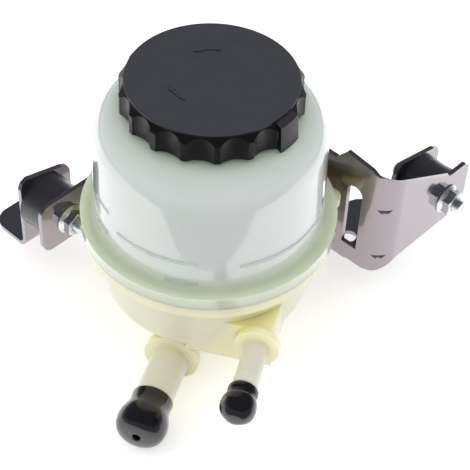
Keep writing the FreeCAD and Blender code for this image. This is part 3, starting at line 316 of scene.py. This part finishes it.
def make_nut(node, outward):
    """A flanged M6 nut with chamfered corners and a countersunk bore."""
    place, height, reach = node_axis(node, outward)
    flange = max(reach.x, reach.z) / 2
    rings = hexagon_rings(place, outward, ALONG_X, height, flange)
    bore = [(NUT_LEAD, height), (0.0, height - NUT_LEAD), (0.0, NUT_LEAD), (NUT_LEAD, 0.0)]
    for wider, along in bore:
        rings.append(ring_round(place, outward, ALONG_X, level(NUT_BORE + wider), level(along), NUT_SIDES))
    piece = new_piece(node + "_flanged", *loft(rings, closed=True), sharp_angle=SHARP_ON_HEXAGONS)
    dress(piece, node, zinc)


def make_screw(node, outward, across):
    """A flanged screw with a chamfered head, its threaded shank inside the reservoir's boss."""
    place, length, reach = node_axis(node, outward)
    flange = abs(reach.dot(across)) / 2
    under_head = length - SCREW_HEAD
    seat = place + outward * under_head
    points, faces = loft(threaded_rings(seat, -outward, across, 0.0, under_head))
    head_points, head_faces = loft(hexagon_rings(seat, outward, across, SCREW_HEAD, flange))
    faces += [tuple(len(points) + index for index in face) for face in head_faces]
    piece = new_piece(node + "_flanged", points + head_points, faces, sharp_angle=SHARP_ON_HEXAGONS)
    dress(piece, node, zinc)


def smooth_line(points, steps):
    """Points along a smooth cubic curve through the given (distance, radius) pairs."""
    line = []
    for index in range(len(points) - 1):
        before = Vector(points[max(index - 1, 0)])
        first = Vector(points[index])
        second = Vector(points[index + 1])
        after = Vector(points[min(index + 2, len(points) - 1)])
        for step in range(steps):
            t = step / steps
            pull = (second - before) * 0.5
            push = (after - first) * 0.5
            line.append(first * (2 * t**3 - 3 * t**2 + 1) + pull * (t**3 - 2 * t**2 + t)
                        + second * (3 * t**2 - 2 * t**3) + push * (t**3 - t**2))
    line.append(Vector(points[-1]))
    return line


def make_plug(node, azimuth, aside, height, hidden, seen, uneven=0.0):
    """A dipped vinyl plug, turned about its nozzle's axis. hidden is the part inside the nozzle or
    against it, with its corners kept, and seen is the smooth outside. uneven is the share by which
    its round end is drawn in between facets."""
    outward = direction(azimuth)
    side = UP.cross(outward)
    place = side * aside * MM + UP * height * MM
    rings = []
    for along, radius in [Vector(pair) for pair in hidden] + smooth_line(seen, PLUG_STEPS):
        drawn_in = uneven * min(max((along - UNEVEN_START) / UNEVEN_GROWTH, 0.0), 1.0)

        def radius_at(angle, radius=radius, drawn_in=drawn_in):
            return radius * MM * (1 - drawn_in * (1 + math.cos(UNEVEN_FACETS * angle)) / 2)

        rings.append(ring_round(place, outward, side, radius_at, level(along * MM), PLUG_SIDES))
    piece = new_piece(node + "_vinyl", *loft(rings), sharp_angle=SHARP_ON_TURNED_PIECES)
    dress(piece, node, plug_vinyl)


def make_weld():
    """The thin roll of plastic that the welding of the two housings pressed out all round the joint."""
    rings = []
    for step in range(WELD_STEPS):
        outward = direction(FULL_TURN * step / WELD_STEPS)
        middle = outward * WELD_RADIUS + UP * JOINT_HEIGHT
        rings.append(ring_round(middle, outward.cross(UP), outward, level(WELD_ROLL), level(0.0), WELD_SIDES))
    piece = new_piece("weld_roll", *loft(rings, closed=True), sharp_angle=NEVER_SHARP)
    join_to(piece, "reservoir_lower", cream_housing)


def make_arrow(name, tail, tip):
    """A raised, curved arrow on the cap's top, between two angles in degrees from +X."""
    turn = math.copysign(1.0, tip - tail)
    head = tip - turn * math.degrees(ARROW_HEAD / ARROW_RADIUS)
    line = [(tail + (head - tail) * step / ARROW_STEPS, ARROW_WIDTH) for step in range(ARROW_STEPS + 1)]
    line += [(head, ARROW_HEAD_WIDTH), (tip, ARROW_TIP_WIDTH)]
    low = UP * (CAP_TOP - ARROW_RELIEF)
    high = UP * (CAP_TOP + ARROW_RELIEF)
    rings = []
    for angle, width in line:
        outward = direction(math.radians(angle))
        half = turn * width / 2
        rings.append([
            outward * (ARROW_RADIUS - half) + low,
            outward * (ARROW_RADIUS + half) + low,
            outward * (ARROW_RADIUS + half * ARROW_SLOPE) + high,
            outward * (ARROW_RADIUS - half * ARROW_SLOPE) + high,
        ])
    piece = new_piece(name, *loft(rings))
    join_to(piece, "filler_cap", black_cap)


node_bodies = {
    node: body for body, nodes in frame["record"]["behaviour"]["bodies"].items() for node in nodes
}
node_slots = {row["node"]: row["material_slot"] for row in frame["record"]["subparts"]}


# Materials

def linear(text):
    """An sRGB hex value as linear red, green, blue and alpha."""
    channels = [int(text[start:start + 2], 16) / 255 for start in (0, 2, 4)]
    bent = [c / 12.92 if c <= 0.04045 else ((c + 0.055) / 1.055) ** 2.4 for c in channels]
    return (*bent, 1.0)


def per_metre(millimetres):
    """A texture's scale for a pattern of this size."""
    return 1 / (millimetres * MM)


def set_inputs(tree, node, sockets):
    """Sets or links a node's inputs by name or number. A node as the source gives its first output."""
    for name, value in sockets.items():
        source = value.outputs[0] if isinstance(value, bpy.types.Node) else value
        if isinstance(source, bpy.types.NodeSocket):
            tree.links.new(source, node.inputs[name])
        else:
            node.inputs[name].default_value = source


def add(tree, kind, sockets=None, **settings):
    """Adds a shader node with its settings and inputs."""
    node = tree.nodes.new("ShaderNode" + kind)
    for name, value in settings.items():
        setattr(node, name, value)
    set_inputs(tree, node, sockets or {})
    return node


def new_material(name, plain):
    """A material with one Principled shader, whose plain values are set on its own sockets."""
    material = bpy.data.materials.new(name)
    material.use_nodes = True
    tree = material.node_tree
    shader = tree.nodes["Principled BSDF"]
    set_inputs(tree, shader, plain)
    place = add(tree, "TexCoord").outputs["Object"]
    return material, tree, shader, place


def mottled(tree, place, millimetres, first, second, detail=3.0):
    """A colour that wanders between two hex values, in blotches of about this size."""
    blotches = add(tree, "TexNoise", {"Vector": place, "Scale": per_metre(millimetres), "Detail": detail})
    return add(tree, "MixRGB", {"Fac": blotches, "Color1": linear(first), "Color2": linear(second)})


def wandering(tree, place, millimetres, low, high, detail=3.0):
    """A value that wanders between low and high, in blotches of about this size."""
    blotches = add(tree, "TexNoise", {"Vector": place, "Scale": per_metre(millimetres), "Detail": detail})
    return add(tree, "MapRange", {"Value": blotches, "From Min": NOISE_LOW, "From Max": NOISE_HIGH,
                                  "To Min": low, "To Max": high})


def grained(tree, place, millimetres, height, strength, detail=3.0, roughness=0.5):
    """The normal of a surface whose grains have about this size and height, in millimetres."""
    blotches = add(tree, "TexNoise", {"Vector": place, "Scale": per_metre(millimetres),
                                      "Detail": detail, "Roughness": roughness})
    return add(tree, "Bump", {"Height": blotches, "Distance": height * MM, "Strength": strength})


def mask(tree, *limits):
    """1 where each value has come from its start to its end, and 0 where one of them is before its
    start. Each of the limits is a value in metres with its start and end in millimetres."""
    whole = None
    for value, start, end in limits:
        part = add(tree, "MapRange", {"Value": value, "From Min": start * MM, "From Max": end * MM})
        whole = part if whole is None else add(tree, "Math", {0: whole, 1: part}, operation="MULTIPLY")
    return whole


def make_finish(name, plain, tones, roughness, grain):
    """A material with plain values, mottled tones, a wandering roughness and a grain. Each of the
    last three starts with its size in millimetres."""
    material, tree, shader, place = new_material(name, plain)
    set_inputs(tree, shader, {
        "Base Color": mottled(tree, place, *tones),
        "Roughness": wandering(tree, place, *roughness),
        "Normal": grained(tree, place, *grain),
    })
    return material


def make_clear_housing():
    """Moulded natural polyamide, thin enough to pass light: milky, pale green-white, with a smooth skin.
    It is greener towards its rim, has a green painted shade under the cap, and is darker on the level lines."""
    material, tree, shader, place = new_material("natural_polyamide_translucent", {
        "Roughness": 0.16, "IOR": 1.5, "Transmission Weight": 0.2, "Subsurface Weight": 0.85,
        "Subsurface Radius": (1.0, 1.0, 0.85), "Subsurface Scale": 0.006,
        "Coat Weight": 1.0, "Coat Roughness": 0.03, "Coat IOR": 1.5,
    })
    apart = add(tree, "SeparateXYZ", {0: place}).outputs
    height = apart["Z"]
    flat = add(tree, "CombineXYZ", {"X": apart["X"], "Y": apart["Y"]})
    radius = add(tree, "VectorMath", {0: flat}, operation="LENGTH").outputs["Value"]
    wall_radius = add(tree, "MapRange", {
        "Value": height, "From Min": WALL_LOW * MM, "From Max": WALL_HIGH * MM,
        "To Min": WALL_LOW_RADIUS * MM, "To Max": WALL_HIGH_RADIUS * MM,
    })
    proud = add(tree, "Math", {0: radius, 1: wall_radius}, operation="SUBTRACT").outputs["Value"]

    near_rim = mask(tree, (height, RIM_BAND_HIGH, RIM_BAND_LOW))
    painted_cap_shade = mask(tree, (radius, UNDER_CAP_END, UNDER_CAP), (height, DOME_LOW, DOME_HIGH))
    level_line = mask(tree, (proud, LINE_FOOT, LINE_TOP), (height, WALL_LOW, WALL_LOW + MASK_EDGE),
                      (height, WALL_HIGH, WALL_HIGH - MASK_EDGE))
    thickness = wandering(tree, place, 26.0, 0.0, 1.0)
    tone = add(tree, "MixRGB", {"Fac": thickness, "Color1": linear("EDF6F0"), "Color2": linear("E8F3E9")})
    # Greener towards the rim, a painted shade under the cap, and a darker tone on the level lines
    for factor, colour in ((near_rim, "DFE9D0"), (painted_cap_shade, "D6E9D5"), (level_line, "C3CCC8")):
        tone = add(tree, "MixRGB", {"Fac": factor, "Color1": tone, "Color2": linear(colour)})
    set_inputs(tree, shader, {"Base Color": tone, "Normal": grained(tree, place, 9.0, 0.04, 0.4, 2.0)})
    return material


def make_cream_housing():
    """Moulded cream polyamide: opaque and warm, with a soft sheen. Recesses get a painted shade, a deeper
    yellow mixed into the colour where less open light reaches them."""
    material, tree, shader, place = new_material("natural_polyamide_cream", {
        "IOR": 1.5, "Subsurface Weight": 0.8, "Subsurface Radius": (1.0, 0.95, 0.5),
        "Subsurface Scale": 0.008, "Coat Weight": 0.1, "Coat Roughness": 0.15,
    })
    open_tone = mottled(tree, place, 30.0, "FBF4CF", "F8F0C6", 1.0)
    open_to_light = add(tree, "AmbientOcclusion", {"Distance": PAINTED_SHADE_REACH * MM}, samples=8).outputs["AO"]
    # Painted shade: a deeper yellow is mixed in where little open light reaches a recess
    painted_recess_shade = add(tree, "MapRange", {"Value": open_to_light, "From Min": PAINTED_SHADE_END, "From Max": PAINTED_SHADE_DEEPEST})
    tone = add(tree, "MixRGB", {"Fac": painted_recess_shade, "Color1": open_tone, "Color2": linear("E5DF92")})
    set_inputs(tree, shader, {
        "Base Color": tone,
        "Roughness": wandering(tree, place, 12.0, 0.28, 0.33, 1.0),
        "Normal": grained(tree, place, 6.0, 0.02, 0.3, 1.0),
    })
    return material


def make_black_cap():
    """Glass-filled black polyamide: a spark-eroded grain on its flat top, drawn 0.45 mm wide so that it
    shows, with painted light that turns the top grey, and smooth, deep black sides from the polished part of
    the mould."""
    material, tree, shader, place = new_material("glass_filled_polyamide_black", {"IOR": 1.36})
    facing = add(tree, "TexCoord").outputs["Normal"]
    upwards = add(tree, "SeparateXYZ", {0: facing}).outputs["Z"]
    top = add(tree, "MapRange", {"Value": upwards, "From Min": PAINTED_TOP_LIGHT_START, "From Max": PAINTED_TOP_LIGHT_FULL})
    black = mottled(tree, place, 5.0, "0C0C0D", "111112")
    # Painted light: faces turned up are drawn grey instead of black
    grey = mottled(tree, place, 7.0, "3A3A42", "414149")
    polish = add(tree, "MapRange", {"Value": top, "To Min": 0.26, "To Max": 0.44})
    dust = wandering(tree, place, 0.8, 0.0, 0.12)
    set_inputs(tree, shader, {
        "Base Color": add(tree, "MixRGB", {"Fac": top, "Color1": black, "Color2": grey}),
        "Roughness": add(tree, "Math", {0: polish, 1: dust}),
        "Normal": grained(tree, place, 0.45, 0.05, 0.7, 2.0, 0.7),
    })
    return material


def make_brass():
    """Turned brass: yellow metal with fine rings from the tool, drawn 0.79 mm apart so that they show."""
    material, tree, shader, place = new_material("turned_brass", {"Metallic": 1.0})
    scale = per_metre(0.79) * FULL_TURN / WAVE_RADIANS
    rings = add(tree, "TexWave", {"Vector": place, "Scale": scale, "Distortion": 0.5}, bands_direction="Y")
    set_inputs(tree, shader, {
        "Base Color": mottled(tree, place, 2.0, "D2B56A", "BF9F55"),
        "Roughness": wandering(tree, place, 1.0, 0.22, 0.34),
        "Normal": add(tree, "Bump", {"Height": rings.outputs["Fac"], "Distance": 0.01 * MM, "Strength": 0.5}),
    })
    return material


def make_rubber(name, dark, light, grain):
    """Moulded black rubber: satin, with a film of mould wax, a faint bloom and a fine grain."""
    plain = {"IOR": 1.52, "Coat Weight": 0.6, "Coat Roughness": 0.22, "Coat IOR": 1.6}
    return make_finish(name, plain, (4.0, dark, light), (2.0, 0.48, 0.62), (grain, 0.04, 0.6))


def make_strainer_mesh():
    """Woven nylon mesh: two sets of fine threads that cross, drawn 1.58 mm apart so that they show."""
    material, tree, shader, place = new_material("woven_nylon_mesh", {"IOR": 1.53, "Roughness": 0.5})
    scale = per_metre(1.58) * FULL_TURN / WAVE_RADIANS
    along_x, along_y = (
        add(tree, "TexWave", {"Vector": place, "Scale": scale}, bands_direction=way).outputs["Fac"]
        for way in ("X", "Y")
    )
    weave = add(tree, "Math", {0: along_x, 1: along_y}, operation="MAXIMUM")
    tone = add(tree, "MixRGB", {"Fac": weave, "Color1": linear("8E8E84"), "Color2": linear("D0D0C8")})
    raised = add(tree, "Bump", {"Height": weave, "Distance": 0.15 * MM, "Strength": 1.0})
    set_inputs(tree, shader, {"Base Color": tone, "Normal": raised})
    return material


clear_housing = make_clear_housing()
cream_housing = make_cream_housing()
black_cap = make_black_cap()

# Dipped black vinyl: wet-looking and slightly uneven
plug_vinyl = make_finish(
    "dipped_vinyl_black",
    {"IOR": 1.54, "Specular Tint": linear("F3E6F3"), "Coat Weight": 0.5, "Coat Roughness": 0.08},
    tones=(6.0, "09090B", "0F0F12"), roughness=(3.0, 0.14, 0.26), grain=(5.0, 0.12, 0.5, 2.0),
)

# Black electrophoretic paint on pressed steel: dark, hard and mirror-smooth, with a slight orange peel
black_paint = make_finish(
    "electrocoat_black",
    {"IOR": 3.2, "Specular Tint": linear("F6E6F1"),
     "Coat Weight": 1.0, "Coat Roughness": 0.05, "Coat IOR": 1.7},
    tones=(12.0, "0F0F12", "141418"), roughness=(4.0, 0.1, 0.2), grain=(2.6, 0.02, 0.5, 2.0),
)

# Bright zinc plate: pale grey metal with a satin grain, drawn 0.35 mm wide so that it shows
zinc = make_finish(
    "zinc_plate_bright", {"Metallic": 1.0},
    tones=(2.0, "DEE0E2", "CDD0D4"), roughness=(0.7, 0.22, 0.38), grain=(0.35, 0.015, 0.6),
)

# Moulded white polyamide: matt and slightly waxy
strainer_plastic = make_finish(
    "natural_polyamide_white", {"IOR": 1.53, "Subsurface Weight": 0.3, "Subsurface Scale": 0.003},
    tones=(8.0, "DEDED6", "D2D2C8"), roughness=(2.0, 0.35, 0.5), grain=(0.8, 0.02, 0.5),
)

materials = {
    "clear_housing": clear_housing,
    "cream_housing": cream_housing,
    "black_cap": black_cap,
    "seal_rubber": make_rubber("nitrile_rubber_black", "19191A", "212122", 0.5),
    "strainer_plastic": strainer_plastic,
    "strainer_mesh": make_strainer_mesh(),
    "plug_vinyl": plug_vinyl,
    "black_paint": black_paint,
    "zinc_steel": zinc,
    "brass": make_brass(),
    "mount_rubber": make_rubber("natural_rubber_black", "1F1E26", "28272F", 0.7),
}
for node, thing in frame["nodes"].items():
    for slot in thing.material_slots:
        slot.material = materials[node_slots[node]]


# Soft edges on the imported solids, in millimetres

EDGES = {
    "filler_cap": 0.2,
    "bracket": 0.15,
    "left_rear_plate": 0.15,
    "right_rear_plate": 0.15,
    "left_rubber_mount": 0.6,
    "right_rubber_mount": 0.6,
}
JOINED_WITHIN = 0.005
EDGE_SEGMENTS = 2
EDGE_ANGLE = 32

for node, width in EDGES.items():
    thing = frame["nodes"][node]
    joined = thing.modifiers.new("Joined points", "WELD")
    joined.merge_threshold = JOINED_WITHIN * MM
    edge = thing.modifiers.new("Soft edges", "BEVEL")
    edge.width = width * MM
    edge.segments = EDGE_SEGMENTS
    edge.limit_method = "ANGLE"
    edge.angle_limit = math.radians(EDGE_ANGLE)
    normals = thing.modifiers.new("Even shading", "WEIGHTED_NORMAL")
    normals.keep_sharp = True


# Threads, hexagons, plugs, weld and arrows

for hand in ("left", "right"):
    make_stud(hand + "_front_stud", -ALONG_Y)
    make_stud(hand + "_rear_stud", ALONG_Y)
    make_nut(hand + "_front_nut", -ALONG_Y)
    make_nut(hand + "_rear_nut", ALONG_Y)
make_plug("suction_plug", hidden=SUCTION_PLUG_INSIDE, seen=SUCTION_PLUG_OUTSIDE, **SUCTION_AXIS)
make_plug("return_plug", hidden=RETURN_PLUG_INSIDE, seen=RETURN_PLUG_OUTSIDE, uneven=RETURN_PLUG_UNEVEN,
          **RETURN_AXIS)
make_weld()
for name, (tail, tip) in ARROWS.items():
    make_arrow(name, tail, tip)
make_screw("side_screw", ALONG_X, ALONG_Y)
make_screw("back_screw", ALONG_Y, ALONG_X)


# Camera

camera = bpy.data.objects.new("Camera", bpy.data.cameras.new("Camera"))
camera.data.lens = CAMERA_LENS_MM
camera.data.sensor_width = CAMERA_SENSOR_MM
camera.data.clip_start = CAMERA_NEAR
camera.data.clip_end = CAMERA_FAR
camera.location = CAMERA_PLACE
camera.rotation_mode = "QUATERNION"
look = (CAMERA_AIM - CAMERA_PLACE).to_track_quat("-Z", "Y")
camera.rotation_quaternion = look @ Quaternion((0, 0, 1), CAMERA_ROLL)
bpy.context.scene.collection.objects.link(camera)
bpy.context.scene.camera = camera


# Studio: a pale floor with a duller table round it, a bright world and two soft lamps, in metres

FLOOR_REACH = 8.0
FLOOR_RISE = -0.0002
FLOOR_GLOW = 0.45
FLOOR_MIRRORED = 0.7
PAPER_EDGE = 0.119
PAPER_REACH = 0.5
TABLE_SEEN = 0.3
TABLE_REACH = 3.0
TABLE_RISE = 0.0004
ROOM_LIGHT = 0.95
CEILING_SEEN = 0.17
HORIZON_SEEN = 0.7
HORIZON_TOP = 0.3

# Each lamp's place in metres and power in watts
LAMPS = {
    "Left softbox": ((-0.75, 0.45, 0.75), 1.6),
    "Right softbox": ((0.7, -0.6, 0.85), 1.4),
}
LAMP_AIM = Vector((0, 0, 0.07))
LAMP_WIDTH = 0.9
LAMP_HEIGHT = 0.7


def cleared(data):
    """The node tree of a new material or world, emptied."""
    data.use_nodes = True
    data.node_tree.nodes.clear()
    return data.node_tree


def level_corners(towards, edge, reach, rise):
    """Corners of a level rectangle whose edge in one direction may be nearer than the others."""
    side = UP.cross(towards)
    spots = ((edge, -reach), (edge, reach), (-reach, reach), (-reach, -reach))
    return [towards * along + side * across + UP * rise for along, across in spots]


def make_floor():
    """White paper. It glows for the camera, so that it turns into the white background, and for
    glossy and clear surfaces, which show it brighter than their own ceiling."""
    corners = level_corners(ALONG_X, FLOOR_REACH, FLOOR_REACH, FLOOR_RISE)
    floor = new_piece("studio_floor", corners, [(0, 1, 2, 3)])
    material = bpy.data.materials.new("studio_floor_white")
    tree = cleared(material)
    path = add(tree, "LightPath").outputs
    mirrored = add(tree, "Math", {0: path["Is Glossy Ray"], 1: path["Is Transmission Ray"]},
                   operation="MAXIMUM")
    in_mirrors = add(tree, "Math", {0: mirrored, 1: FLOOR_MIRRORED}, operation="MULTIPLY")
    glow = add(tree, "Math", {0: path["Is Camera Ray"], 1: FLOOR_GLOW, 2: in_mirrors},
               operation="MULTIPLY_ADD")
    paper = add(tree, "BsdfDiffuse", {"Color": linear("E8E8E8")})
    both = add(tree, "AddShader", {0: paper, 1: add(tree, "Emission", {"Strength": glow})})
    add(tree, "OutputMaterial", {"Surface": both})
    floor.data.materials.append(material)


def make_table():
    """The duller table round the studio's sheet of white paper, which only glossy surfaces show. The
    sheet ends just outside the view, which makes the darker shape in the middle of the clear wall."""
    towards = Vector((CAMERA_PLACE.x, CAMERA_PLACE.y, 0)).normalized()
    sheet = level_corners(towards, PAPER_EDGE, PAPER_REACH, TABLE_RISE)
    table = level_corners(towards, TABLE_REACH, TABLE_REACH, TABLE_RISE)
    sides = [(index, (index + 1) % 4, 4 + (index + 1) % 4, 4 + index) for index in range(4)]
    piece = new_piece("studio_table", sheet + table, sides)
    material = bpy.data.materials.new("studio_table_dull")
    tree = cleared(material)
    add(tree, "OutputMaterial", {"Surface": add(tree, "Emission", {"Strength": TABLE_SEEN})})
    piece.data.materials.append(material)
    piece.visible_camera = False
    piece.visible_diffuse = False
    piece.visible_transmission = False
    piece.visible_shadow = False


def make_world():
    """A white room that lights the object evenly. Glossy surfaces show it bluish and darker, from a
    pale horizon up to a grey ceiling."""
    world = bpy.data.worlds.new("Studio")
    bpy.context.scene.world = world
    tree = cleared(world)
    path = add(tree, "LightPath").outputs
    upwards = add(tree, "SeparateXYZ", {0: add(tree, "TexCoord").outputs["Generated"]}).outputs["Z"]
    wall = add(tree, "MapRange", {"Value": upwards, "From Max": HORIZON_TOP,
                                  "To Min": HORIZON_SEEN, "To Max": CEILING_SEEN})
    unseen = add(tree, "Mix", {"Factor": path["Is Glossy Ray"], "A": ROOM_LIGHT, "B": wall})
    seen = add(tree, "Math", {0: path["Is Camera Ray"], 1: path["Is Transmission Ray"]},
               operation="MAXIMUM")
    strength = add(tree, "Mix", {"Factor": seen, "A": unseen, "B": 1.0})
    tone = add(tree, "MixRGB", {"Fac": path["Is Glossy Ray"], "Color1": linear("FFFFFF"),
                                "Color2": linear("DCDEF2")})
    back = add(tree, "Background", {"Color": tone, "Strength": strength})
    add(tree, "OutputWorld", {"Surface": back})


def make_lamp(name, place, power):
    """A soft rectangular lamp that faces the object and doesn't show in glossy surfaces."""
    data = bpy.data.lights.new(name, "AREA")
    data.shape = "RECTANGLE"
    data.size = LAMP_WIDTH
    data.size_y = LAMP_HEIGHT
    data.energy = power
    lamp = bpy.data.objects.new(name, data)
    lamp.location = place
    lamp.rotation_mode = "QUATERNION"
    lamp.rotation_quaternion = (LAMP_AIM - Vector(place)).to_track_quat("-Z", "Y")
    lamp.visible_glossy = False
    bpy.context.scene.collection.objects.link(lamp)


make_floor()
make_table()
make_world()
for name, (place, power) in LAMPS.items():
    make_lamp(name, place, power)
bpy.context.scene.view_settings.view_transform = "Standard"
